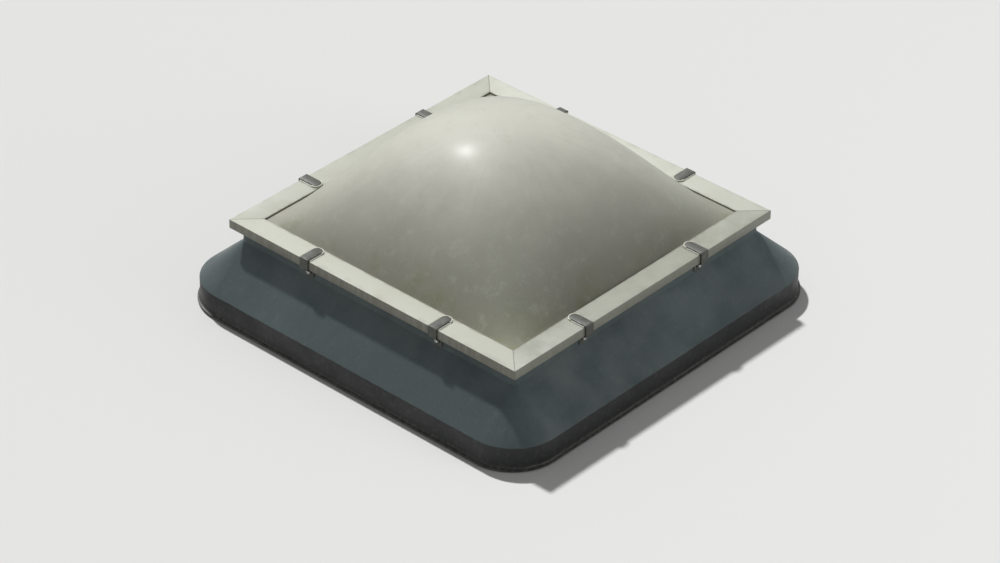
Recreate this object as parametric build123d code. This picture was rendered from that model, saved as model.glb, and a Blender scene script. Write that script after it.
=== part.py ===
from build123d import *
from math import atan2, degrees
import os

# Fixed domed rooflight on its own insulated curb, millimetres, +Z up.
# The unit stands on z = 0 and is centred on x = y = 0. Its four sides are front (-Y),
# right (+X), back (+Y) and left (-X). Each side is modelled as the front one and turned.

# Moulded curb: upright collar, splayed walls and upright skirt, laminate skins over a filled cavity
clear_side = 870.0  # daylight opening between the collar walls
wall_t = 45.0  # sandwich wall from face to face, measured level
curb_h = 220.0  # from the underside of the foot to the ledge
collar_h = 44.0  # upright top of the wall, which the clamps are screwed to
skirt_h = 66.0  # upright bottom of the wall, down to the underside of the foot
splay_run = 118.0  # how far the skirt stands out from the collar
skin_t = 3.0  # laminate skin, measured level
ledge_t = 4.0  # top of the curb, under the dome
collar_corner_r = 18.0  # outer corner of the collar; the splay widens it by its run
well_corner_r = 12.0  # inner corner of the collar, widened the same way
foot_t = 5.0  # toe and inner flange
toe_w = 7.0  # toe outside the skirt
flange_w = 50.0  # fixing flange inside the wall
flange_corner_r = 20.0
edge_r = 2.5  # rounding of the ledge's outer edge
heel_r = 5.0  # hollow where the walls meet the toe and the flange
fixing_hole_d = 9.0
fixing_offset = 300.0  # fixing holes, each way from the middle of a side
bond_line = 0.3  # adhesive between the skins and what fills them

# Bedding strip under the foot
seal_t = 4.0
seal_inset = 5.0  # the strip stops short of the toe and of the flange by this much

# Two blown skins with flat flanges, kept apart by a spacer
dome_rise = 280.0  # apex of the outer skin above its flange
crown_gap = 39.0  # air between the two skins at their apex
side_fill = 0.25  # extra fullness of both skins towards their sides
corner_fill = 0.3  # the same towards their corners
bubble_wall = 2.0  # from the foot of a bubble's outside to the foot of its inside
outer_skin_t = 3.0
inner_skin_t = 3.0
spacer_t = 6.0
spacer_w = 24.0
dome_corner_r = 10.0
inner_dome_gap = 14.0  # from the collar's daylight opening to the foot of the inner bubble
sight_gap = 3.0  # from the frame's inner edge to the foot of the outer bubble
expansion_gap = 4.0  # from the skins' edge to the frame's hollow chamber

# Gaskets, as thick as they are when clamped
lower_gasket_t = 4.0
lower_gasket_w = 22.0
upper_gasket_t = 2.5
upper_gasket_w = 8.0
gasket_fit = 0.25  # beside the upper gasket, between its two ribs

# Extruded cap frame, four mitred bars
overhang = 20.0  # frame's outer face beyond the collar
frame_w = 65.0  # top leg, from inner edge to outer face
frame_leg_h = 26.0
frame_t = 2.5
frame_edge_r = 2.0
rib_inset = 7.2  # from the frame's inner edge to the first gasket rib
rib_t = 1.8
rib_h = 1.3
chamber_w = 22.0  # hollow chamber for the corner cleats, outside size
chamber_h = 14.0
chamber_t = 2.0
drip_w = 4.0
drip_t = 2.0
mitre_gap = 0.3

# Corner cleats inside the frame's chamber, pinned from below
cleat_len = 62.0
cleat_fit = 0.3
cleat_pin_d = 4.0
cleat_pin_len = 8.0
cleat_pin_inset = 18.0  # from the free end of a cleat's leg
cleat_chamfer = 1.5

# Clamps that hold the frame down, two on each side
clamp_offset = 225.0  # each way from the middle of a side
clamp_w = 28.0
clamp_t = 3.0
clamp_bend_r = 2.0
clamp_tip_flat = 2.0  # straight piece left at the round tip of the tongue
clamp_foot_h = 32.0
clamp_corner_r = 6.0
clamp_gap = 2.0  # between the clamp and the frame's outer face and lower edge
pad_t = 2.0
pad_lip_w = 3.0
pad_lip_h = 2.0
pad_inset = 2.0  # from the frame's inner edge and from its outer face
pad_fit = 0.5  # between the tongue and the lip round it

# Screws of the clamps
screw_d = 5.5
screw_grip = 30.0  # length in the batten
screw_tip = 6.0
screw_head_af = 8.0
screw_head_h = 4.5
screw_flange_d = 11.5
screw_flange_t = 1.2
screw_fit = 0.2  # on the diameter
screw_drop = 14.0  # below the clamp's lower bend
slot_play = 3.0  # extra height of the clamp's slotted hole
washer_d = 15.0
washer_t = 2.5

# Levels, from the deck up
foot_z = seal_t
ledge_z = foot_z + curb_h
collar_z = ledge_z - collar_h
skirt_z = foot_z + skirt_h
inner_skin_z = ledge_z + lower_gasket_t
spacer_z = inner_skin_z + inner_skin_t
outer_skin_z = spacer_z + spacer_t
upper_gasket_z = outer_skin_z + outer_skin_t
frame_under_z = upper_gasket_z + upper_gasket_t
frame_top_z = frame_under_z + frame_t
frame_leg_z = frame_top_z - frame_leg_h
inner_rise = outer_skin_z + dome_rise - crown_gap - inner_skin_t - inner_skin_z

# Distances out from the middle of the unit
well_half = clear_side / 2
collar_half = well_half + wall_t
foot_half = collar_half + splay_run
foot_corner_r = collar_corner_r + splay_run
splay_angle = degrees(atan2(splay_run, collar_z - skirt_z))
frame_half = collar_half + overhang
sight_half = frame_half - frame_w
chamber_half = frame_half - chamber_w
skin_half = chamber_half - expansion_gap
outer_bubble_half = sight_half - sight_gap
inner_bubble_half = well_half - inner_dome_gap
rib_half = sight_half + rib_inset
gasket_half = rib_half + rib_t + gasket_fit
clamp_tip = sight_half + pad_inset + pad_lip_w + pad_fit
clamp_leg = frame_half + clamp_gap
clamp_under_z = frame_leg_z - clamp_gap
screw_z = clamp_under_z - clamp_t - screw_drop

sides = {"front": 0, "right": 90, "back": 180, "left": 270}
section_plane = Plane(origin=(0, 0, 0), x_dir=(0, -1, 0), z_dir=(-1, 0, 0))


def rounded_prism(half, corner_r, low, high):
    outline = Pos(0, 0, low) * RectangleRounded(2 * half, 2 * half, corner_r)
    return extrude(outline, amount=high - low)


def ring(outer_half, outer_r, inner_half, inner_r, low, high):
    return rounded_prism(outer_half, outer_r, low, high) - rounded_prism(inner_half, inner_r, low, high)


def strip(inner, outer, low, high):
    """Rectangle of a section, placed by its distance out and its level."""
    return Pos((inner + outer) / 2, (low + high) / 2) * Rectangle(outer - inner, high - low)


def side_wedge(gap=0.0):
    """Everything that belongs to the front side, as far as the two mitre lines."""
    reach = 2 * foot_half
    outline = Polygon((0, -gap), (-reach, -reach - gap), (reach, -reach - gap), align=None)
    return extrude(outline, amount=2 * ledge_z)


def turned(shape, side):
    return Rot(0, 0, sides[side]) * shape


def splayed_form(half, corner_r):
    """Rounded square block of a given collar: upright skirt, splay and upright collar."""
    skirt_half = half + splay_run
    skirt_r = corner_r + splay_run
    skirt = rounded_prism(skirt_half, skirt_r, foot_z, skirt_z)
    shoulder = Pos(0, 0, skirt_z) * RectangleRounded(2 * skirt_half, 2 * skirt_half, skirt_r)
    splay = extrude(shoulder, amount=collar_z - skirt_z, taper=splay_angle)
    return skirt + splay + rounded_prism(half, corner_r, collar_z, ledge_z)


def wall_form(inset):
    return splayed_form(collar_half - inset, collar_corner_r - inset)


def well_form(outset):
    return splayed_form(well_half + outset, well_corner_r + outset)


def cavity(inset, top):
    """Space between the two skins, from the foot up to the given level."""
    block = rounded_prism(foot_half, foot_corner_r, foot_z, top)
    return (wall_form(inset) & block) - well_form(inset)


def make_curb_shell():
    walls = wall_form(0) - well_form(0)
    rim_edges = walls.faces().sort_by(Axis.Z)[-1].outer_wire().edges()
    walls = fillet(rim_edges, edge_r)
    foot = ring(
        foot_half + toe_w,
        foot_corner_r + toe_w,
        foot_half - wall_t - flange_w,
        flange_corner_r,
        foot_z,
        foot_z + foot_t,
    )
    toe_top, flange_top = (walls + foot).faces().filter_by(Axis.Z).group_by(Axis.Z)[1].sort_by(face_reach)
    heels = toe_top.inner_wires()[0].edges() + flange_top.outer_wire().edges()
    shell = fillet(heels, heel_r) - cavity(skin_t, ledge_z - ledge_t)
    shell -= fixing_holes(foot_z + foot_t)
    for side in sides:
        shell -= turned(screw_holes(), side)
    return shell


def face_reach(face):
    return -face.bounding_box().size.X


def fixing_holes(top):
    out = foot_half - wall_t - flange_w / 2
    spots = [(x, y) for x in (-fixing_offset, fixing_offset) for y in (-out, out)]
    spots += [(y, x) for x, y in spots]
    hole = extrude(Circle(fixing_hole_d / 2), amount=top)
    return Compound([Pos(x, y, 0) * hole for x, y in spots])


def screw_holes():
    """Clearance holes for the two clamp screws of the front side, with a pointed end."""
    depth = clamp_t + skin_t + bond_line + screw_grip
    radius = (screw_d + screw_fit) / 2
    bore = Rot(-90, 0, 0) * (
        Cylinder(radius, depth, align=(Align.CENTER, Align.CENTER, Align.MIN))
        + Pos(0, 0, depth) * Cone(radius, 0, screw_tip, align=(Align.CENTER, Align.CENTER, Align.MIN))
    )
    start = -(collar_half + clamp_t)
    return Compound([Pos(x, start, screw_z) * bore for x in (-clamp_offset, clamp_offset)])


def make_batten():
    """Timber batten inside the collar, mitred, bored for the clamp screws."""
    inset = skin_t + bond_line
    batten = cavity(inset, ledge_z - ledge_t - bond_line)
    batten &= side_wedge(mitre_gap)
    batten = split(batten, Plane.XY.offset(collar_z), keep=Keep.TOP)
    return batten - screw_holes()


def make_insulation():
    """Foam between the curb's two skins, from the foot up to the batten."""
    foam = cavity(skin_t + bond_line, collar_z - bond_line)
    return foam & side_wedge(mitre_gap)


def make_base_seal():
    inner = foot_half - wall_t - flange_w
    seal = ring(
        foot_half + toe_w - seal_inset,
        foot_corner_r + toe_w - seal_inset,
        inner + seal_inset,
        flange_corner_r - seal_inset,
        0,
        seal_t,
    )
    return seal - fixing_holes(seal_t)


def bubble(half, rise, level):
    """Solid under a blown square skin: one Bezier patch, closed by its flat base.

    With x and y running from -1 to 1, the patch's height is the rise times
    (crown(x) crown(y) + corner_fill * shoulder(x) shoulder(y)), where
    shoulder(t) = t^2 - t^4 and crown(t) = 1 - t^2 + side_fill * shoulder(t).
    The two rows of numbers are 1 - t^2 and t^2 - t^4 as control heights of degree four.
    """
    arch = (0, 1, 4 / 3, 1, 0)
    shoulder = (0, 1, -4 / 3, 1, 0)
    crown = [a + side_fill * s for a, s in zip(arch, shoulder)]
    steps = [(i / 2 - 1) * half for i in range(5)]
    net = []
    for i, x in enumerate(steps):
        lifts = [crown[i] * crown[j] + corner_fill * shoulder[i] * shoulder[j] for j in range(5)]
        net.append([(x, y, level + rise * lift) for y, lift in zip(steps, lifts)])
    patch = Face.make_bezier_surface(net)
    base = Face(patch.outer_wire())
    return Solid(Shell([patch, base]))


def make_skin(bubble_half, rise, level, thickness):
    """A blown skin with its flat flange. Its wall keeps about one thickness down the sides."""
    flange = rounded_prism(skin_half, dome_corner_r, level, level + thickness)
    outside = bubble(bubble_half, rise, level + thickness)
    inside = bubble(bubble_half - bubble_wall, rise, level)
    return flange + outside - inside


def make_spacer():
    inner = skin_half - spacer_w
    return ring(skin_half, dome_corner_r, inner, dome_corner_r, spacer_z, outer_skin_z)


def make_lower_gasket():
    inner = (well_half + collar_half - lower_gasket_w) / 2
    inner_r = well_corner_r - well_half + inner
    outer = inner + lower_gasket_w
    return ring(outer, inner_r + lower_gasket_w, inner, inner_r, ledge_z, inner_skin_z)


def make_upper_gasket():
    outer = gasket_half + upper_gasket_w
    section = strip(gasket_half, outer, upper_gasket_z, frame_under_z)
    bar = extrude(section_plane * section, amount=outer, both=True) & side_wedge()
    return Part() + [turned(bar, side) for side in sides]


def frame_section():
    """Cap frame: top leg, outer leg with a drip lip, cleat chamber and two gasket ribs."""
    chamber_z = frame_top_z - chamber_h
    far_rib = gasket_half + upper_gasket_w + gasket_fit
    section = strip(sight_half, frame_half, frame_under_z, frame_top_z)
    section += strip(frame_half - frame_t, frame_half, frame_leg_z, frame_top_z)
    section += strip(frame_half - frame_t - drip_w, frame_half, frame_leg_z, frame_leg_z + drip_t)
    section += strip(chamber_half, chamber_half + chamber_t, chamber_z, frame_top_z)
    section += strip(chamber_half, frame_half, chamber_z, chamber_z + chamber_t)
    for rib in (rib_half, far_rib):
        section += strip(rib, rib + rib_t, frame_under_z - rib_h, frame_top_z)
    return fillet(section.vertices().group_by(Axis.Y)[-1], frame_edge_r)


def make_frame_bar():
    bar = extrude(section_plane * frame_section(), amount=frame_half, both=True)
    bar &= side_wedge(mitre_gap / 2)
    for x in (-1, 1):
        bar -= Pos(x * cleat_pin_place(), -cleat_middle(), 0) * cleat_pin_hole()
    return bar


def cleat_bounds():
    inner = chamber_half + chamber_t + cleat_fit
    outer = frame_half - frame_t - cleat_fit
    return inner, outer


def cleat_middle():
    inner, outer = cleat_bounds()
    return (inner + outer) / 2


def cleat_pin_place():
    inner, outer = cleat_bounds()
    return outer - cleat_len + cleat_pin_inset


def cleat_pin_hole():
    radius = (cleat_pin_d + screw_fit) / 2
    hole = Cylinder(radius, cleat_pin_len, align=(Align.CENTER, Align.CENTER, Align.MIN))
    return Pos(0, 0, frame_top_z - chamber_h) * hole


def make_cleat():
    """L-shaped block that joins the front and left bars inside their chambers."""
    inner, outer = cleat_bounds()
    low = frame_top_z - chamber_h + chamber_t
    high = frame_under_z - cleat_fit
    reach = outer - cleat_len
    outline = Polygon(
        (-outer, -outer + cleat_chamfer),
        (-outer + cleat_chamfer, -outer),
        (-reach, -outer),
        (-reach, -inner),
        (-inner, -inner),
        (-inner, -reach),
        (-outer, -reach),
        align=None,
    )
    block = extrude(Pos(0, 0, low) * outline, amount=high - low)
    spots = [(-cleat_pin_place(), -cleat_middle()), (-cleat_middle(), -cleat_pin_place())]
    for x, y in spots:
        block -= Pos(x, y, 0) * cleat_pin_hole()
    return block


def make_cleat_pins():
    """Drive pins from below, through the chamber's floor into the cleats."""
    pin = Cylinder(cleat_pin_d / 2, cleat_pin_len, align=(Align.CENTER, Align.CENTER, Align.MIN))
    low = frame_top_z - chamber_h
    pins = []
    for side in sides:
        for x in (-cleat_pin_place(), cleat_pin_place()):
            pins.append(turned(Pos(x, -cleat_middle(), low) * pin, side))
    return Compound(pins)


def clamp_section():
    """Folded strap: tongue over the frame, leg down, return under it and foot on the collar."""
    path = FilletPolyline(
        (clamp_tip, frame_top_z + pad_t),
        (clamp_leg, frame_top_z + pad_t),
        (clamp_leg, clamp_under_z),
        (collar_half, clamp_under_z),
        (collar_half, clamp_under_z - clamp_t - clamp_foot_h),
        radius=[clamp_bend_r, clamp_bend_r, clamp_bend_r + clamp_t],
    )
    return make_face(offset(path, amount=clamp_t, side=Side.LEFT))


def make_clamp():
    strap = extrude(section_plane * clamp_section(), amount=clamp_w / 2, both=True)
    strap = round_tip(strap, 0)
    foot_edges = strap.edges().filter_by(Axis.Y).group_by(Axis.Z)[0]
    strap = fillet(foot_edges, clamp_corner_r)
    slot = SlotOverall(screw_d + screw_fit + slot_play, screw_d + screw_fit, rotation=90)
    cutter = extrude(section_face(collar_half, screw_z) * slot, amount=clamp_t)
    return strap - cutter


def section_face(distance, level):
    """Plane that faces out from the front side at the given distance and level."""
    return Plane(origin=(0, -distance, level), x_dir=(1, 0, 0), z_dir=(0, -1, 0))


def round_tip(shape, margin):
    """Rounds the two upright edges nearest the middle of the unit, as the tongue's tip is."""
    tip_edges = shape.edges().filter_by(Axis.Z).sort_by(Axis.Y)[-2:]
    return fillet(tip_edges, (clamp_w - clamp_tip_flat) / 2 + margin)


def tongue_block(margin, height):
    """Block on the frame with the tongue's plan, grown by a margin on three sides."""
    inner = clamp_tip - margin
    outer = frame_half - pad_inset
    plan = Pos(0, -(inner + outer) / 2, frame_top_z) * Rectangle(clamp_w + 2 * margin, outer - inner)
    return round_tip(extrude(plan, amount=height), margin)


def make_pad():
    """Pad under the tongue, with a low lip round the tongue's tip."""
    edge = pad_fit + pad_lip_w
    lip = tongue_block(edge, pad_t + pad_lip_h) - tongue_block(pad_fit, pad_t + pad_lip_h)
    lip = split(lip, section_face(clamp_tip + clamp_w / 2, 0), keep=Keep.BOTTOM)
    return tongue_block(edge, pad_t) + lip


def make_screw():
    """Hexagon washer-head screw, drawn pointing up from the seat of its head."""
    length = washer_reach() + screw_grip
    base = Cylinder(screw_flange_d / 2, screw_flange_t, align=(Align.CENTER, Align.CENTER, Align.MAX))
    head_low = -screw_flange_t - screw_head_h
    outline = RegularPolygon(screw_head_af / 2, 6, major_radius=False)
    head = extrude(Pos(0, 0, head_low) * outline, amount=screw_head_h)
    shank = Cylinder(screw_d / 2, length, align=(Align.CENTER, Align.CENTER, Align.MIN))
    point = Cone(screw_d / 2, 0, screw_tip, align=(Align.CENTER, Align.CENTER, Align.MIN))
    return head + base + shank + Pos(0, 0, length) * point


def washer_reach():
    """From the seat of a screw's head to the face of the batten."""
    return washer_t + clamp_t + skin_t + bond_line


def place_on_foot(shape, distance):
    """Copies of a piece on the clamps' feet, all round, each pointing inwards."""
    copies = []
    for side in sides:
        for x in (-clamp_offset, clamp_offset):
            copies.append(turned(Pos(x, -distance, screw_z) * Rot(-90, 0, 0) * shape, side))
    return Compound(copies)


def make_screws():
    return place_on_foot(make_screw(), collar_half + clamp_t + washer_t)


def make_washers():
    washer = Cylinder(washer_d / 2, washer_t, align=(Align.CENTER, Align.CENTER, Align.MIN))
    washer -= Cylinder((screw_d + screw_fit) / 2, 4 * washer_t)
    return place_on_foot(washer, collar_half + clamp_t + washer_t)


def save(name, shape):
    export_step(shape, "parts/" + name + ".step")


os.makedirs("parts", exist_ok=True)
save("curb_shell", make_curb_shell())
save("base_seal", make_base_seal())
save("dome_outer", make_skin(outer_bubble_half, dome_rise, outer_skin_z, outer_skin_t))
save("dome_inner", make_skin(inner_bubble_half, inner_rise, inner_skin_z, inner_skin_t))
save("skin_spacer", make_spacer())
save("lower_gasket", make_lower_gasket())
save("upper_gasket", make_upper_gasket())
save("clamp_screws", make_screws())
save("clamp_washers", make_washers())
save("cleat_pins", make_cleat_pins())

batten = make_batten()
insulation = make_insulation()
frame_bar = make_frame_bar()
cleat = make_cleat()
clamp = make_clamp()
pad = make_pad()
corners = {"front": "front_left", "right": "front_right", "back": "back_right", "left": "back_left"}
for side in sides:
    save("batten_" + side, turned(batten, side))
    save("insulation_" + side, turned(insulation, side))
    save("frame_" + side, turned(frame_bar, side))
    save("cleat_" + corners[side], turned(cleat, side))
    for number, x in ((1, -clamp_offset), (2, clamp_offset)):
        save("clamp_" + side + "_" + str(number), turned(Pos(x, 0, 0) * clamp, side))
        save("clamp_pad_" + side + "_" + str(number), turned(Pos(x, 0, 0) * pad, side))
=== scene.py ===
import bpy
import math
from mathutils import Matrix, Vector


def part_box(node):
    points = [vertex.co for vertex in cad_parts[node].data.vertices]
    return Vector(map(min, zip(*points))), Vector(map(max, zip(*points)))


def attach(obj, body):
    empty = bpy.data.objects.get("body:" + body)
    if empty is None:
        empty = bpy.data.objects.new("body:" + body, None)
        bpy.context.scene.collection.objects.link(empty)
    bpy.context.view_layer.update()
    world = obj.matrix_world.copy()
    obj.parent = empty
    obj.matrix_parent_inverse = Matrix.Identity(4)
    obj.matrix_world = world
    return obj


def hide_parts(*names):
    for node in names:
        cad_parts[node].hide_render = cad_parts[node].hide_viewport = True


# Domed rooflight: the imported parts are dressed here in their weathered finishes.
# Front is -Y, right +X, back +Y and left -X, metres, with the unit standing on z = 0.

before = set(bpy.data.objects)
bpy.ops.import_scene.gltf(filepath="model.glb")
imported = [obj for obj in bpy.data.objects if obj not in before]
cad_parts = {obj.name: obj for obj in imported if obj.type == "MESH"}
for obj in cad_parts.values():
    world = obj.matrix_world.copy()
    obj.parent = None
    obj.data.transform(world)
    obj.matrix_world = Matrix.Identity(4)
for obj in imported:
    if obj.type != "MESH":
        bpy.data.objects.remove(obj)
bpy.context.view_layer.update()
sideNames = ("front", "right", "back", "left")
print("frame loaded:", len(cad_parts), "parts")


# Materials: one small kit of node moves, then one function for each finish

class Finish:
    def __init__(self, name, values=None):
        self.material = bpy.data.materials.new(name)
        self.material.use_nodes = True
        self.tree = self.material.node_tree
        self.shader = self.tree.nodes["Principled BSDF"]
        for socket, value in (values or {}).items():
            self.shader.inputs[socket].default_value = value
        self.place = self.add("ShaderNodeTexCoord").outputs["Object"]

    def add(self, kind, inputs=None, **options):
        node = self.tree.nodes.new(kind)
        for option, value in options.items():
            setattr(node, option, value)
        for socket, value in (inputs or {}).items():
            self.feed(node.inputs[socket], value)
        return node

    def feed(self, socket, value):
        if isinstance(value, bpy.types.NodeSocket):
            self.tree.links.new(value, socket)
        else:
            socket.default_value = value

    def drive(self, socket, value):
        self.tree.links.new(value, self.shader.inputs[socket])

    def axes(self):  # x, y and z of the point on the part
        return self.add("ShaderNodeSeparateXYZ", {"Vector": self.place}).outputs

    def scaled(self, scale, turn=(0, 0, 0)):
        moves = {"Vector": self.place, "Scale": scale, "Rotation": turn}
        return self.add("ShaderNodeMapping", moves).outputs["Vector"]

    def noise(self, scale, detail=4.0, roughness=0.55, place=None):
        place = place or self.place
        inputs = {"Vector": place, "Scale": scale, "Detail": detail, "Roughness": roughness}
        return self.add("ShaderNodeTexNoise", inputs).outputs["Fac"]

    def cells(self, scale):
        inputs = {"Vector": self.place, "Scale": scale}
        return self.add("ShaderNodeTexVoronoi", inputs).outputs["Distance"]

    def count(self, operation, first, second=0.0):
        node = self.add("ShaderNodeMath", operation=operation)
        self.feed(node.inputs[0], first)
        self.feed(node.inputs[1], second)
        return node.outputs[0]

    def plus(self, first, second):
        return self.count("ADD", first, second)

    def both(self, first, second):
        return self.count("MULTIPLY", first, second)

    def fade(self, value, start, end, low=0.0, high=1.0):  # low up to the start, high from the end
        inputs = {"Value": value, "From Min": start, "From Max": end, "To Min": low, "To Max": high}
        node = self.add("ShaderNodeMapRange", inputs, interpolation_type="SMOOTHSTEP")
        return node.outputs["Result"]

    def patches(self, noise, fade, place=None):
        return self.fade(self.noise(*noise, place=place), *fade)

    def mix(self, share, first, second):
        node = self.add("ShaderNodeMix", data_type="RGBA")
        self.feed(node.inputs["Factor"], share)
        for socket, value in zip([s for s in node.inputs if s.type == "RGBA"], (first, second)):
            self.feed(socket, value if isinstance(value, bpy.types.NodeSocket) else (*value, 1.0))
        return next(s for s in node.outputs if s.type == "RGBA")

    def cover(self, colour, over, mask, share):  # a second colour laid on where the mask is
        return self.mix(self.both(mask, share), colour, over)

    def bump(self, height, strength, distance, under=None):
        inputs = {"Height": height, "Strength": strength, "Distance": distance}
        node = self.add("ShaderNodeBump", inputs)
        if under:
            self.feed(node.inputs["Normal"], under)
        return node.outputs["Normal"]

    def ofSides(self, operation):
        x, y = self.axes()[:2]
        return self.count(operation, self.count("ABSOLUTE", x), self.count("ABSOLUTE", y))

    def reach(self):  # distance out from the middle, for all four sides alike
        return self.ofSides("MAXIMUM")

    def run(self):  # distance along a side from its middle, the same way
        return self.ofSides("MINIMUM")


# In each look, three numbers under a colour's name are red, green and blue. A noise is scale,
# detail and roughness, and a fade is start and end, then low and high if they aren't 0 and 1.
# Patches are a noise and its fade, a bump is strength and height, and lengths are in metres.

def curbFinish():
    look = {
        "body": (0.073, 0.098, 0.100), "deep": (0.057, 0.077, 0.079),
        "chalk": (0.150, 0.178, 0.176), "dust": (0.200, 0.188, 0.160),
        "band": (0.015, 0.016, 0.016), "bandWorn": (0.050, 0.050, 0.048),
        "cloud": (2.6, 5.0, 0.6), "tone": (0.38, 0.66),
        "streaks": ((1.0, 6.0, 0.6), (0.50, 0.74)), "streakShape": (26.0, 26.0, 2.2),
        "washing": (0.35, 0.70), "washed": 0.26,
        "fibres": (1.0, 4.0, 0.7), "fibreShape": (90.0, 90.0, 34.0),
        "pale": (0.56, 0.74), "paleShare": 0.30, "dark": (0.42, 0.28), "darkShare": 0.45,
        "specks": ((520.0, 1.0), (0.66, 0.74)), "speckShare": 0.35,
        "wear": ((60.0, 6.0, 0.7), (0.50, 0.72, 0.0, 0.80)),
        "bandEdge": (0.0725, 0.0705), "wave": (38.0, 3.0), "waveHeight": 0.003,
        "foot": (0.022, 0.008), "splash": ((90.0, 6.0, 0.65), (0.36, 0.64)), "splashShare": 0.30,
        "shine": ((9.0, 5.0), (0.30, 0.72, 0.42, 0.72)),
        "grain": (260.0, 3.0, 0.65), "peel": (0.25, 0.0005), "mat": (0.30, 0.0012),
        "lay": (7.0, 3.0), "laid": (0.22, 0.006),
    }
    finish = Finish("curbLaminate", {"Specular IOR Level": 0.4})
    z = finish.axes()["Z"]
    cloud = finish.noise(*look["cloud"])
    colour = finish.mix(finish.fade(cloud, *look["tone"]), look["deep"], look["body"])
    streaks = finish.patches(*look["streaks"], finish.scaled(look["streakShape"]))
    washed = finish.both(streaks, finish.fade(cloud, *look["washing"]))
    colour = finish.cover(colour, look["chalk"], washed, look["washed"])
    fibres = finish.noise(*look["fibres"], finish.scaled(look["fibreShape"]))
    pale, dark = finish.fade(fibres, *look["pale"]), finish.fade(fibres, *look["dark"])
    colour = finish.cover(colour, look["chalk"], pale, look["paleShare"])
    colour = finish.cover(colour, look["deep"], dark, look["darkShare"])
    specks = finish.patches(*look["specks"])
    colour = finish.cover(colour, look["chalk"], specks, look["speckShare"])
    band = finish.mix(finish.patches(*look["wear"]), look["band"], look["bandWorn"])
    wavy = finish.plus(z, finish.both(finish.noise(*look["wave"]), look["waveHeight"]))
    colour = finish.mix(finish.fade(wavy, *look["bandEdge"]), colour, band)
    splash = finish.both(finish.fade(z, *look["foot"]), finish.patches(*look["splash"]))
    colour = finish.cover(colour, look["dust"], splash, look["splashShare"])
    finish.drive("Base Color", colour)
    finish.drive("Roughness", finish.patches(*look["shine"]))
    peel = finish.bump(finish.noise(*look["grain"]), *look["peel"])
    mat = finish.bump(fibres, *look["mat"], peel)
    lay = finish.noise(*look["lay"])  # slight waves of the hand-laid laminate
    finish.drive("Normal", finish.bump(lay, *look["laid"], mat))
    return finish.material


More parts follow.
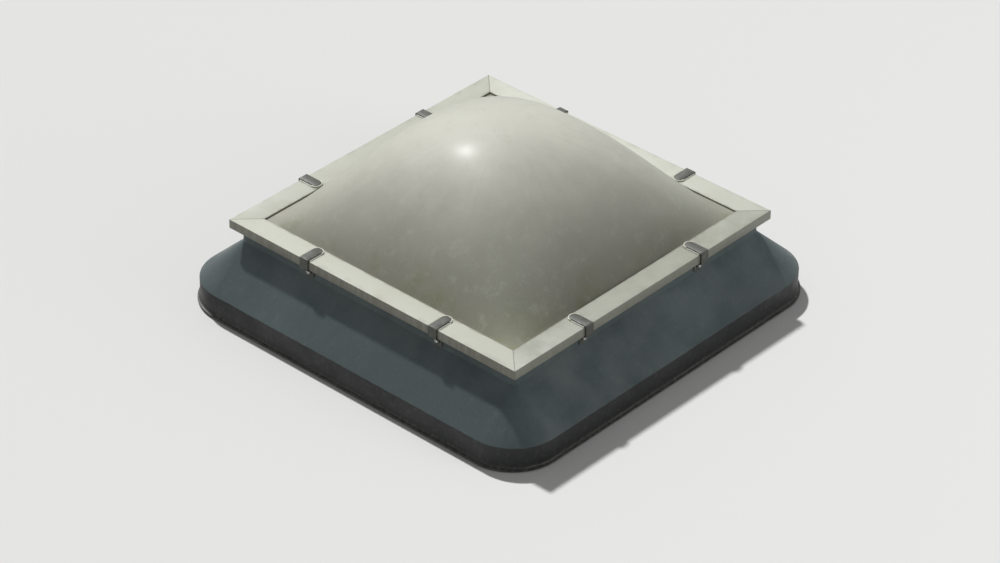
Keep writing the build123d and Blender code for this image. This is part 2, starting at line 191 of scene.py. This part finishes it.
def domeFinish(name, damp):
    look = {
        "slope": (0.264, 0.267, 0.218), "crown": (0.618, 0.620, 0.541),
        "warm": (0.380, 0.360, 0.300), "algae": (0.240, 0.256, 0.146),
        "dust": (0.660, 0.655, 0.580),
        "runs": ((15.0, 6.0, 0.65), (0.46, 0.68)), "runsFrom": (0.05, 0.22), "runShare": 0.13,
        "cloud": (5.5, 5.0, 0.6), "drift": 0.10, "middle": 0.5,
        "flank": 0.20, "flankLightCurve": 1.4, "leftSideLight": 0.02,
        "lowest": 0.255, "highest": 0.520, "bleach": 1.75,
        "ring": (0.377, 0.444), "ringDrift": 0.03, "ringShare": 0.35,
        "growth": ((11.0, 4.0), (0.48, 0.70)),
        "corner": (-0.60, -0.86), "film": ((16.0, 5.0), (0.30, 0.62, 0.45, 1.0)),
        "mottle": (24.0, 7.0, 0.72), "pale": (0.50, 0.72), "dark": (0.48, 0.28), "mottled": 0.22,
        "drops": 46.0, "drop": (0.17, 0.08), "shower": ((9.0, 3.0), (0.46, 0.62)),
        "grit": ((420.0, 2.0), (0.58, 0.72)), "spotShare": 0.17, "spotDust": 0.4,
        "roughness": (0.0, 1.0, 0.55, 0.72), "gloss": (0.0, 0.8, 0.08, 0.03),
        "sheet": (6.0, 2.0), "ripple": (0.10, 0.004), "grain": (0.10, 0.0003),
        "shader": {
            "Specular IOR Level": 0.25, "IOR": 1.49, "Transmission Weight": 0.12,
            "Coat Roughness": 0.26,
        },
    }
    finish = Finish(name, look["shader"])
    x, y, z = finish.axes()
    flat = finish.scaled((1.0, 1.0, 0.0))
    ray = finish.add("ShaderNodeVectorMath", {0: flat}, operation="NORMALIZE").outputs["Vector"]
    away = finish.add("ShaderNodeVectorMath", {0: flat}, operation="LENGTH").outputs["Value"]
    runs = finish.patches(*look["runs"], ray)  # dirt washed straight down the slope
    runs = finish.both(runs, finish.fade(away, *look["runsFrom"]))
    cloud = finish.noise(*look["cloud"])
    drift = finish.both(finish.count("SUBTRACT", cloud, look["middle"]), look["drift"])
    aside = finish.count("SUBTRACT", y, x)  # to the left or right, seen from the front left
    # the flanks, and a little more the left side, are painted lighter: painted light and sheen
    flank = finish.count("POWER", finish.count("ABSOLUTE", aside), look["flankLightCurve"])
    hazeAndLight = finish.plus(finish.plus(z, drift), finish.both(flank, look["flank"]))
    hazeAndLight = finish.plus(hazeAndLight, finish.both(aside, look["leftSideLight"]))
    height = {"Value": hazeAndLight, "From Min": look["lowest"], "From Max": look["highest"]}
    share = finish.add("ShaderNodeMapRange", height).outputs["Result"]
    share = finish.count("POWER", share, look["bleach"])
    colour = finish.mix(share, look["slope"], look["crown"])  # bleached and dusty where it lies flat; the lighter crown and flanks are also painted light and sheen, the darker slopes painted shade
    ring = finish.plus(finish.reach(), finish.both(cloud, look["ringDrift"]))
    ring = finish.fade(ring, *look["ring"])
    colour = finish.cover(colour, look["warm"], ring, look["ringShare"])
    colour = finish.cover(colour, look["warm"], runs, look["runShare"])
    growth = finish.both(ring, finish.patches(*look["growth"]))
    corner = finish.fade(finish.plus(x, y), *look["corner"])  # water stands longest here
    corner = finish.both(corner, finish.patches(*look["film"]))
    growth = finish.count("MAXIMUM", growth, corner)
    colour = finish.cover(colour, look["algae"], growth, damp)
    mottle = finish.noise(*look["mottle"])
    pale, dark = finish.fade(mottle, *look["pale"]), finish.fade(mottle, *look["dark"])
    colour = finish.cover(colour, look["dust"], pale, look["mottled"])
    colour = finish.cover(colour, look["warm"], dark, look["mottled"])
    spots = finish.fade(finish.cells(look["drops"]), *look["drop"])  # dried rain drops
    spots = finish.both(spots, finish.patches(*look["shower"]))
    grit = finish.patches(*look["grit"])
    spots = finish.count("MAXIMUM", spots, grit)
    colour = finish.cover(colour, look["dust"], spots, look["spotShare"])
    finish.drive("Base Color", colour)
    dusty = finish.count("MAXIMUM", ring, finish.both(spots, look["spotDust"]))
    finish.drive("Roughness", finish.fade(dusty, *look["roughness"]))
    finish.drive("Coat Weight", finish.fade(dusty, *look["gloss"]))  # gloss where no dirt lies
    ripple = finish.bump(finish.noise(*look["sheet"]), *look["ripple"])  # never quite even
    finish.drive("Normal", finish.bump(grit, *look["grain"], ripple))
    return finish.material


def frameFinish():
    look = {
        "coat": (0.563, 0.575, 0.498), "aged": (0.506, 0.512, 0.428),
        "soiled": (0.254, 0.263, 0.214), "grime": (0.150, 0.145, 0.115),
        "cloud": (8.0, 5.0, 0.6), "ageing": (0.40, 0.75),
        "leg": (0.4988, 0.4998), "legShadeStreaks": ((1.0, 5.0, 0.6), (0.25, 0.70, 0.72, 0.92)),
        "legShape": (70.0, 70.0, 5.0),
        "front": (0.0, -0.0004), "frontSoil": (0.30, 0.70, 0.58, 0.92),
        "clampAt": 0.225, "stain": (0.026, 0.014), "stained": ((60.0,), (0.35, 0.65)),
        "stainShare": 0.55,
        "inner": (0.445, 0.435), "innerDirt": ((40.0,), (0.35, 0.7)), "innerShare": 0.45,
        "joint": (0.0028, 0.0004), "jointShare": 0.7,
        "specks": ((310.0, 3.0, 0.6), (0.62, 0.72)), "speckShare": 0.28,
        "outer": (0.478, 0.499), "outerWash": ((1.0, 4.0, 0.6), (0.44, 0.68)),
        "washShape": (22.0, 22.0, 1.0), "outerShare": 0.22,
        "roughness": (0.3, 0.7, 0.34, 0.58), "powder": (900.0, 2.0), "grain": (0.12, 0.0003),
    }
    finish = Finish("frameCoat", {"Specular IOR Level": 0.45})
    x, y = finish.axes()[:2]
    reach, run = finish.reach(), finish.run()
    cloud = finish.noise(*look["cloud"])
    colour = finish.mix(finish.fade(cloud, *look["ageing"]), look["coat"], look["aged"])
    # the outer leg is painted much darker all round: painted shade for the leg lying in shadow,
    # broken by dirt streaks
    leg = finish.patches(*look["legShadeStreaks"], finish.scaled(look["legShape"]))
    leg = finish.both(finish.fade(reach, *look["leg"]), leg)
    colour = finish.mix(leg, colour, look["grime"])
    front = finish.plus(y, finish.count("ABSOLUTE", x))  # the front bar is made darker and greener in cloudy patches
    front = finish.both(finish.fade(front, *look["front"]), finish.fade(cloud, *look["frontSoil"]))
    colour = finish.mix(front, colour, look["soiled"])
    fromClamp = finish.count("ABSOLUTE", finish.count("SUBTRACT", run, look["clampAt"]))
    stain = finish.both(finish.fade(fromClamp, *look["stain"]), finish.patches(*look["stained"]))
    colour = finish.cover(colour, look["grime"], stain, look["stainShare"])
    inner = finish.both(finish.fade(reach, *look["inner"]), finish.patches(*look["innerDirt"]))
    colour = finish.cover(colour, look["grime"], inner, look["innerShare"])
    joint = finish.fade(finish.count("SUBTRACT", reach, run), *look["joint"])
    colour = finish.cover(colour, look["grime"], joint, look["jointShare"])
    specks = finish.patches(*look["specks"])
    colour = finish.cover(colour, look["grime"], specks, look["speckShare"])
    outer = finish.patches(*look["outerWash"], finish.scaled(look["washShape"]))
    outer = finish.both(finish.fade(reach, *look["outer"]), outer)
    colour = finish.cover(colour, look["grime"], outer, look["outerShare"])
    finish.drive("Base Color", colour)
    finish.drive("Roughness", finish.fade(cloud, *look["roughness"]))
    finish.drive("Normal", finish.bump(finish.noise(*look["powder"]), *look["grain"]))
    return finish.material


def clampFinish():
    look = {
        "coat": (0.060, 0.064, 0.052), "worn": (0.340, 0.335, 0.300),
        "dust": (0.200, 0.190, 0.155),
        "cloud": (70.0, 5.0, 0.6), "dusty": (0.50, 0.72, 0.0, 0.6),
        "scuffs": ((420.0, 3.0), (0.62, 0.70)), "scuffShare": 0.6,
        "roughness": (0.3, 0.7, 0.35, 0.65), "powder": (1400.0, 2.0), "grain": (0.15, 0.0002),
    }
    finish = Finish("clampCoat")
    cloud = finish.noise(*look["cloud"])
    colour = finish.mix(finish.fade(cloud, *look["dusty"]), look["coat"], look["dust"])
    scuffs = finish.patches(*look["scuffs"])
    finish.drive("Base Color", finish.cover(colour, look["worn"], scuffs, look["scuffShare"]))
    finish.drive("Roughness", finish.fade(cloud, *look["roughness"]))
    finish.drive("Normal", finish.bump(finish.noise(*look["powder"]), *look["grain"]))
    return finish.material


def padFinish():
    look = {
        "body": (0.660, 0.655, 0.560), "soiled": (0.360, 0.340, 0.270),
        "soil": ((150.0, 5.0, 0.6), (0.45, 0.75)), "soilShare": 0.7,
        "roughness": (0.0, 1.0, 0.38, 0.70),
    }
    finish = Finish("padNylon", {"Subsurface Weight": 0.1})
    soil = finish.patches(*look["soil"])
    finish.drive("Base Color", finish.cover(look["body"], look["soiled"], soil, look["soilShare"]))
    finish.drive("Roughness", finish.fade(soil, *look["roughness"]))
    return finish.material


def zincFinish():
    look = {
        "zinc": (0.560, 0.560, 0.545), "dull": (0.300, 0.295, 0.275),
        "tarnish": ((260.0, 5.0, 0.6), (0.42, 0.70)), "roughness": (0.0, 1.0, 0.28, 0.62),
    }
    finish = Finish("zincPlate", {"Metallic": 1.0})
    tarnish = finish.patches(*look["tarnish"])
    finish.drive("Base Color", finish.mix(tarnish, look["zinc"], look["dull"]))
    finish.drive("Roughness", finish.fade(tarnish, *look["roughness"]))
    return finish.material


def rubberFinish(name, body, bloom):
    look = {
        "cloud": ((45.0, 6.0, 0.65), (0.45, 0.75)), "bloomShare": 0.6,
        "roughness": (0.0, 1.0, 0.6, 0.9), "skin": (700.0, 3.0), "grain": (0.3, 0.0004),
    }
    finish = Finish(name, {"Specular IOR Level": 0.3})
    cloud = finish.patches(*look["cloud"])
    finish.drive("Base Color", finish.cover(body, bloom, cloud, look["bloomShare"]))
    finish.drive("Roughness", finish.fade(cloud, *look["roughness"]))
    finish.drive("Normal", finish.bump(finish.noise(*look["skin"]), *look["grain"]))
    return finish.material


def timberFinish(name, turn):  # the grain runs along X, and the turn sets it along the batten
    look = {
        "early": (0.560, 0.400, 0.235), "late": (0.340, 0.205, 0.100),
        "fibre": (0.640, 0.490, 0.320),
        "board": (1.0, 14.0, 14.0), "ringFade": (0.25, 0.95),
        "rings": {"Scale": 3.4, "Distortion": 6.0, "Detail": 3.0, "Detail Scale": 1.2},
        "fibres": (18.0, 6.0, 0.7), "fibreShape": (2.0, 60.0, 60.0), "fibreFade": (0.45, 0.7),
        "fibreShare": 0.5, "bend": ((2.0, 3.0, 0.5), (0.55, 0.8, 0.0, 0.3)),
        "grain": (0.4, 0.0008),
    }
    finish = Finish(name, {"Roughness": 0.75, "Specular IOR Level": 0.25})
    rotation = (0, 0, math.radians(turn))
    board = finish.scaled(look["board"], rotation)
    wave = {"Vector": board, **look["rings"]}
    rings = finish.add("ShaderNodeTexWave", wave, bands_direction="Z").outputs["Fac"]
    fibres = finish.noise(*look["fibres"], finish.scaled(look["fibreShape"], rotation))
    colour = finish.mix(finish.fade(rings, *look["ringFade"]), look["early"], look["late"])
    paler = finish.fade(fibres, *look["fibreFade"])
    colour = finish.cover(colour, look["fibre"], paler, look["fibreShare"])
    bend = finish.patches(*look["bend"], board)
    finish.drive("Base Color", finish.mix(bend, colour, look["late"]))
    finish.drive("Normal", finish.bump(fibres, *look["grain"]))
    return finish.material


def foamFinish():
    look = {
        "skin": (0.740, 0.640, 0.370), "pore": (0.520, 0.400, 0.190),
        "pores": 420.0, "poreFade": (0.55, 0.15), "pitted": (0.6, 0.0012),
        "aged": ((14.0, 4.0), (0.45, 0.75, 0.0, 0.5)),
        "shader": {"Roughness": 0.9, "Specular IOR Level": 0.2, "Subsurface Weight": 0.1},
    }
    finish = Finish("filledFoam", look["shader"])
    pores = finish.cells(look["pores"])
    colour = finish.mix(finish.fade(pores, *look["poreFade"]), look["skin"], look["pore"])
    finish.drive("Base Color", finish.mix(finish.patches(*look["aged"]), colour, look["pore"]))
    finish.drive("Normal", finish.bump(pores, *look["pitted"]))
    return finish.material


def millFinish():
    look = {
        "bright": (0.760, 0.765, 0.775), "dull": (0.540, 0.545, 0.555),
        "drawn": (30.0, 4.0, 0.6), "drawnShape": (1.0, 1.0, 30.0),
        "dulled": (0.35, 0.7), "roughness": (0.3, 0.7, 0.25, 0.5),
    }
    finish = Finish("millMetal", {"Metallic": 1.0})
    drawn = finish.noise(*look["drawn"], finish.scaled(look["drawnShape"]))
    dulled = finish.fade(drawn, *look["dulled"])
    finish.drive("Base Color", finish.mix(dulled, look["bright"], look["dull"]))
    finish.drive("Roughness", finish.fade(drawn, *look["roughness"]))
    return finish.material


dampShare = {"outer": 0.62, "inner": 0.0}  # nothing grows on the inner skin
finishes = {
    "curb": curbFinish(),
    "domeOuter": domeFinish("domeOuterSkin", dampShare["outer"]),
    "domeInner": domeFinish("domeInnerSkin", dampShare["inner"]),
    "frame": frameFinish(),
    "clamp": clampFinish(),
    "pad": padFinish(),
    "zinc": zincFinish(),
    "gasket": rubberFinish("gasketRubber", (0.022, 0.022, 0.024), (0.060, 0.060, 0.062)),
    "washer": rubberFinish("washerRubber", (0.030, 0.030, 0.031), (0.090, 0.088, 0.082)),
    "bedding": rubberFinish("beddingStrip", (0.018, 0.018, 0.020), (0.075, 0.070, 0.062)),
    "spacer": rubberFinish("spacerTape", (0.045, 0.045, 0.048), (0.085, 0.085, 0.088)),
    "timberX": timberFinish("timberAlongX", 0),
    "timberY": timberFinish("timberAlongY", 90),
    "foam": foamFinish(),
    "mill": millFinish(),
}
print("finishes made:", len(finishes))


# Modelling moves shared by the pieces

tolerances = {
    "weld": 0.000003, "packedWeld": 0.00001,  # points this near become one
    "flatAngle": 0.6,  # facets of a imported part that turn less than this, in degrees, become one
    "near": 0.0001,  # how exactly an edge or face is found by its place
}


def deselect():
    bpy.ops.object.select_all(action="DESELECT")


def pick(piece):
    deselect()
    piece.select_set(True)
    bpy.context.view_layer.objects.active = piece


def startEdit():
    bpy.ops.object.mode_set(mode="EDIT")


def endEdit():
    bpy.ops.object.mode_set(mode="OBJECT")


def startPicking(piece, kind):  # edit mode, with nothing picked
    pick(piece)
    startEdit()
    bpy.ops.mesh.select_mode(type=kind)
    bpy.ops.mesh.select_all(action="DESELECT")


def pickRims(piece):  # edit mode, with the open edges picked
    startPicking(piece, "EDGE")
    bpy.ops.mesh.select_non_manifold()


def pickEdges(piece, wanted):  # edit mode, with the edges picked whose two ends are as wanted
    startPicking(piece, "EDGE")
    endEdit()
    for edge in piece.data.edges:
        ends = [piece.data.vertices[index] for index in edge.vertices]
        if all(wanted(end.co) for end in ends):
            edge.select = ends[0].select = ends[1].select = True
    startEdit()


def pickFaces(piece, wanted):  # edit mode, with the wanted faces picked
    startPicking(piece, "FACE")
    endEdit()
    for face in piece.data.polygons:
        face.select = wanted(face)
    startEdit()


def settle(piece):  # the object goes to the origin, and its place into the mesh
    pick(piece)
    bpy.ops.object.transform_apply(location=True, rotation=True, scale=True)


def mergeClose(piece):
    pick(piece)
    startEdit()
    bpy.ops.mesh.select_all(action="SELECT")
    bpy.ops.mesh.remove_doubles(threshold=tolerances["weld"])
    endEdit()


def soften(piece, width, steps, angle):
    pick(piece)
    modifier = piece.modifiers.new("edges", "BEVEL")
    modifier.width = width
    modifier.segments = steps
    modifier.limit_method = "ANGLE"
    modifier.angle_limit = math.radians(angle)
    modifier.use_clamp_overlap = True
    bpy.ops.object.modifier_apply(modifier=modifier.name)
    mergeClose(piece)


def smooth(piece, angle):
    pick(piece)
    bpy.ops.object.shade_smooth_by_angle(angle=math.radians(angle), keep_sharp_edges=False)


def copyOfNode(node, name):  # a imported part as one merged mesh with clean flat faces
    piece = bpy.data.objects.new(name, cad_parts[node].data.copy())
    bpy.context.scene.collection.objects.link(piece)
    pick(piece)
    bpy.ops.mesh.customdata_custom_splitnormals_clear()
    startEdit()
    bpy.ops.mesh.select_all(action="SELECT")
    bpy.ops.mesh.remove_doubles(threshold=tolerances["packedWeld"])
    bpy.ops.mesh.dissolve_limited(angle_limit=math.radians(tolerances["flatAngle"]))
    endEdit()
    return piece


def joinAll(pieces):
    deselect()
    for piece in pieces:
        piece.select_set(True)
    bpy.context.view_layer.objects.active = pieces[0]
    bpy.ops.object.join()
    return pieces[0]


def dress(piece, finish):
    piece.data.materials.clear()
    piece.data.materials.append(finishes[finish])


def install(piece, finish, slot, *nodes):
    dress(piece, finish)
    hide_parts(*nodes)
    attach(piece, "root")


# Blown skins

skins = {
    "dome_outer": {
        "name": "outerDome", "foot": 0.432, "finish": "domeOuter", "slot": "dome_outer_skin",
    },
    "dome_inner": {
        "name": "innerDome", "foot": 0.421, "finish": "domeInner", "slot": "dome_inner_skin",
    },
}
skinShape = {
    "cells": 96, "thickness": 0.003, "sideFill": 0.25, "cornerFill": 0.3,
    "heel": 0.004, "heelSteps": 3, "corner": 0.0095, "cornerSteps": 6, "smooth": 40.0,
}


def blow(piece, foot, rise):  # the rise of a free-blown square sheet, fuller towards its corners
    sideFill, cornerFill = skinShape["sideFill"], skinShape["cornerFill"]
    for vertex in piece.data.vertices:
        x, y = (vertex.co.x / foot) ** 2, (vertex.co.y / foot) ** 2
        sides = (x - x * x, y - y * y)
        crown = (1 - x + sideFill * sides[0]) * (1 - y + sideFill * sides[1])
        vertex.co.z += rise * (crown + cornerFill * sides[0] * sides[1])


def makeSkin(node, skin):
    low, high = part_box(node)
    level = low.z + skinShape["thickness"]
    foot, cells, near = skin["foot"], skinShape["cells"], tolerances["near"]
    deselect()
    bpy.ops.mesh.primitive_grid_add(
        x_subdivisions=cells, y_subdivisions=cells, size=2 * foot, location=(0, 0, level),
    )
    piece = bpy.context.active_object
    piece.name = skin["name"]
    settle(piece)
    blow(piece, foot, high.z - level)
    pickRims(piece)
    bpy.ops.mesh.extrude_edges_move()
    grow = high.x / foot  # out to the flange's edge
    bpy.ops.transform.resize(value=(grow, grow, 1.0), center_override=(0, 0, level))
    endEdit()
    pickEdges(piece, lambda point: abs(max(abs(point.x), abs(point.y)) - foot) < near)
    bpy.ops.mesh.bevel(offset=skinShape["heel"], segments=skinShape["heelSteps"], profile=0.5)
    endEdit()
    wall = piece.modifiers.new("wall", "SOLIDIFY")
    wall.thickness = skinShape["thickness"]
    wall.offset = -1.0
    pick(piece)
    bpy.ops.object.modifier_apply(modifier=wall.name)
    pickEdges(piece, lambda point: min(abs(point.x), abs(point.y)) > high.x - near)
    bpy.ops.mesh.bevel(offset=skinShape["corner"], segments=skinShape["cornerSteps"], profile=0.5)
    endEdit()
    smooth(piece, skinShape["smooth"])
    return piece


for node, skin in skins.items():
    install(makeSkin(node, skin), skin["finish"], skin["slot"], node)
print("skins blown")


# Parts that keep their packed form, with their edges eased

clampNames = [side + "_" + number for side in sideNames for number in ("1", "2")]
easing = {"steps": 2, "angle": 35.0, "smooth": 30.0}
easedParts = [
    {"nodes": ["curb_shell"], "edge": 0.0008, "finish": "curb", "slot": "curb_laminate"},
    {"nodes": ["base_seal"], "edge": 0.0008, "finish": "bedding", "slot": "bedding_strip"},
    {
        "nodes": ["frame_" + side for side in sideNames],
        "edge": 0.0004, "finish": "frame", "slot": "frame_coating",
    },
    {
        "nodes": ["clamp_" + name for name in clampNames],
        "edge": 0.0004, "finish": "clamp", "slot": "clamp_coating",
    },
    {
        "nodes": ["clamp_pad_" + name for name in clampNames],
        "edge": 0.0004, "finish": "pad", "slot": "pad",
    },
]
for part in easedParts:
    for node in part["nodes"]:
        words = node.split("_")
        piece = copyOfNode(node, words[0] + "".join(word.capitalize() for word in words[1:]))
        soften(piece, part["edge"], easing["steps"], easing["angle"])
        smooth(piece, easing["smooth"])
        install(piece, part["finish"], part["slot"], node)
    print("eased:", part["nodes"][0], "and", len(part["nodes"]) - 1, "like it")


# Clamp screws with their sealing washers, made once and copied round the collar

screw = {
    "head": 0.0080, "headHeight": 0.0045, "chamfer": 0.0006, "chamferAngle": 70.0,
    "rim": 0.0011, "dish": 0.0005, "dishSlope": 0.0002,
    "flange": 0.0115, "flangeHeight": 0.0012, "flangeFacets": 32, "flangeEdge": 0.0003,
    "shank": 0.0055, "shankFacets": 24, "length": 0.0388, "tip": 0.0060, "point": 0.02,
    "edgeSteps": 2, "edgeAngle": 60.0,
}
washer = {
    "across": 0.0150, "height": 0.0025, "hole": 0.0057, "facets": 40,
    "round": 0.0006, "roundSteps": 3, "roundAngle": 60.0,
}
fixing = {"seat": 0.4855, "level": 0.200, "along": 0.225, "smooth": 35.0}


def addDisc(across, height, start, facets, ends="NGON"):  # a short bar from start outwards
    deselect()
    bpy.ops.mesh.primitive_cylinder_add(
        vertices=facets, radius=across / 2, depth=height, end_fill_type=ends,
        location=(0, 0, start + height / 2),
    )
    disc = bpy.context.active_object
    settle(disc)
    return disc


def addHead():
    across = screw["head"] * 2 / math.sqrt(3)  # from corner to corner of the hexagon
    head = addDisc(across, screw["headHeight"], screw["flangeHeight"], 6)
    soften(head, screw["chamfer"], screw["edgeSteps"], screw["chamferAngle"])
    top = screw["flangeHeight"] + screw["headHeight"] - tolerances["near"]
    pickFaces(head, lambda face: face.normal.z > 0.9 and face.center.z > top)
    bpy.ops.mesh.inset(thickness=screw["rim"], depth=0)
    bpy.ops.mesh.inset(thickness=screw["dishSlope"], depth=-screw["dish"])
    endEdit()
    return head


def addShank():
    shank = addDisc(screw["shank"], screw["length"], -screw["length"], screw["shankFacets"])
    pickFaces(shank, lambda face: face.normal.z < -0.9)
    bpy.ops.mesh.extrude_region_move(TRANSFORM_OT_translate={"value": (0, 0, -screw["tip"])})
    end = (0, 0, -screw["length"] - screw["tip"])
    bpy.ops.transform.resize(value=(screw["point"], screw["point"], 1.0), center_override=end)
    endEdit()
    return shank


def makeScrew():
    flange = addDisc(screw["flange"], screw["flangeHeight"], 0.0, screw["flangeFacets"])
    soften(flange, screw["flangeEdge"], screw["edgeSteps"], screw["edgeAngle"])
    return joinAll([flange, addHead(), addShank()])


def makeWasher():
    height = washer["height"]
    piece = addDisc(washer["across"], height, -height, washer["facets"], "NOTHING")
    pickRims(piece)
    bpy.ops.mesh.extrude_edges_move()
    shrink = washer["hole"] / washer["across"]
    middle = (0, 0, -height / 2)
    bpy.ops.transform.resize(value=(shrink, shrink, 1.0), center_override=middle)
    bpy.ops.mesh.bridge_edge_loops()
    bpy.ops.mesh.select_all(action="SELECT")
    bpy.ops.mesh.normals_make_consistent(inside=False)
    endEdit()
    soften(piece, washer["round"], washer["roundSteps"], washer["roundAngle"])
    return piece


def placeRound(piece, name):  # eight copies, joined as one piece: two on each side
    lay = Matrix.Rotation(math.radians(90), 4, "X")
    copies = []
    for quarter in range(4):
        turn = Matrix.Rotation(math.radians(90 * quarter), 4, "Z")
        for along in (-fixing["along"], fixing["along"]):
            copy = bpy.data.objects.new(name, piece.data.copy())
            place = Matrix.Translation((along, -fixing["seat"], fixing["level"]))
            copy.data.transform(turn @ place @ lay)
            bpy.context.scene.collection.objects.link(copy)
            copies.append(copy)
    bpy.data.objects.remove(piece)
    joined = joinAll(copies)
    smooth(joined, fixing["smooth"])
    joined.name = name
    return joined


install(placeRound(makeScrew(), "clampScrews"), "zinc", "fixings", "clamp_screws")
install(placeRound(makeWasher(), "clampWashers"), "washer", "gasket", "clamp_washers")
print("screws and washers placed")


# Hidden parts, shown as packed

hiddenFinishes = {
    "skin_spacer": "spacer", "lower_gasket": "gasket", "upper_gasket": "gasket",
    "cleat_pins": "zinc",
}
for side in sideNames:
    hiddenFinishes["batten_" + side] = "timberX" if side in ("front", "back") else "timberY"
    hiddenFinishes["insulation_" + side] = "foam"
for corner in ("front_left", "front_right", "back_right", "back_left"):
    hiddenFinishes["cleat_" + corner] = "mill"
for node, finish in hiddenFinishes.items():
    dress(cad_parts[node], finish)
print("hidden parts dressed:", len(hiddenFinishes))


# Floor, lights and camera

studio = {
    "floor": (0.740, 0.740, 0.732), "floorSize": 60.0, "floorCells": 8,
    "floorPaint": {"Roughness": 0.9, "Specular IOR Level": 0.1},
    "backdrop": (0.790, 0.795, 0.798), "sky": (1.0, 1.0, 1.0), "ambient": 0.22,
}
lamps = {
    "keyLamp": {
        "kind": "SUN", "from": (0.21, 0.585, 0.785), "distance": 14.0,
        "values": {"energy": 3.2, "angle": math.radians(3.0)},
    },
    "fillLamp": {
        "kind": "AREA", "from": (0.35, -0.85, 0.42), "distance": 8.0,
        "values": {"shape": "DISK", "size": 4.0, "energy": 66.0},
    },
}
view = {
    "azimuth": -48.25, "elevation": 34.07, "distance": 10.472, "aim": 0.035, "roll": 0.83,
    "lens": 143.0, "sensor": 36.0, "farthest": 200.0,
}


def makeFloor():
    cells = studio["floorCells"]
    deselect()
    bpy.ops.mesh.primitive_grid_add(
        x_subdivisions=cells, y_subdivisions=cells, size=studio["floorSize"],
    )
    floor = bpy.context.active_object
    floor.name = "studioFloor"
    paint = {"Base Color": (*studio["floor"], 1.0), **studio["floorPaint"]}
    finish = Finish("studioFloor", paint)
    finish.tree.nodes.remove(finish.place.node)
    floor.data.materials.append(finish.material)


def makeWorld():  # an even sky for light, and the backdrop for the camera and for reflections
    world = bpy.data.worlds.new("studioWorld")
    bpy.context.scene.world = world
    world.use_nodes = True
    nodes, links = world.node_tree.nodes, world.node_tree.links
    ambient = nodes["Background"]
    ambient.inputs["Color"].default_value = (*studio["sky"], 1.0)
    ambient.inputs["Strength"].default_value = studio["ambient"]
    backdrop = nodes.new("ShaderNodeBackground")
    backdrop.inputs["Color"].default_value = (*studio["backdrop"], 1.0)
    rays = nodes.new("ShaderNodeLightPath")
    seen = rays.outputs["Is Camera Ray"]
    for ray in ("Is Glossy Ray", "Is Transmission Ray"):
        either = nodes.new("ShaderNodeMath")
        either.operation = "MAXIMUM"
        links.new(seen, either.inputs[0])
        links.new(rays.outputs[ray], either.inputs[1])
        seen = either.outputs[0]
    chosen = nodes.new("ShaderNodeMixShader")
    links.new(seen, chosen.inputs["Fac"])
    links.new(ambient.outputs[0], chosen.inputs[1])
    links.new(backdrop.outputs[0], chosen.inputs[2])
    links.new(chosen.outputs[0], nodes["World Output"].inputs["Surface"])


def makeLamp(name, settings):
    lamp = bpy.data.lights.new(name, settings["kind"])
    for option, value in settings["values"].items():
        setattr(lamp, option, value)
    holder = bpy.data.objects.new(name, lamp)
    bpy.context.scene.collection.objects.link(holder)
    toward = Vector(settings["from"]).normalized()
    holder.location = toward * settings["distance"]
    holder.rotation_euler = toward.to_track_quat("Z", "Y").to_euler()


def makeCamera():
    camera = bpy.data.cameras.new("photoCamera")
    camera.lens = view["lens"]
    camera.sensor_width = view["sensor"]
    camera.clip_end = view["farthest"]
    holder = bpy.data.objects.new("photoCamera", camera)
    bpy.context.scene.collection.objects.link(holder)
    azimuth, elevation = math.radians(view["azimuth"]), math.radians(view["elevation"])
    level = math.cos(elevation)
    back = Vector((math.sin(azimuth) * level, -math.cos(azimuth) * level, math.sin(elevation)))
    holder.location = Vector((0, 0, view["aim"])) + back * view["distance"]
    turn = back.to_track_quat("Z", "Y").to_matrix().to_4x4()
    roll = Matrix.Rotation(math.radians(view["roll"]), 4, "Z")
    holder.rotation_euler = (turn @ roll).to_euler()
    bpy.context.scene.camera = holder


makeFloor()
makeWorld()
for lampName, settings in lamps.items():
    makeLamp(lampName, settings)
makeCamera()
bpy.context.scene.view_settings.view_transform = "Standard"
print("studio ready")
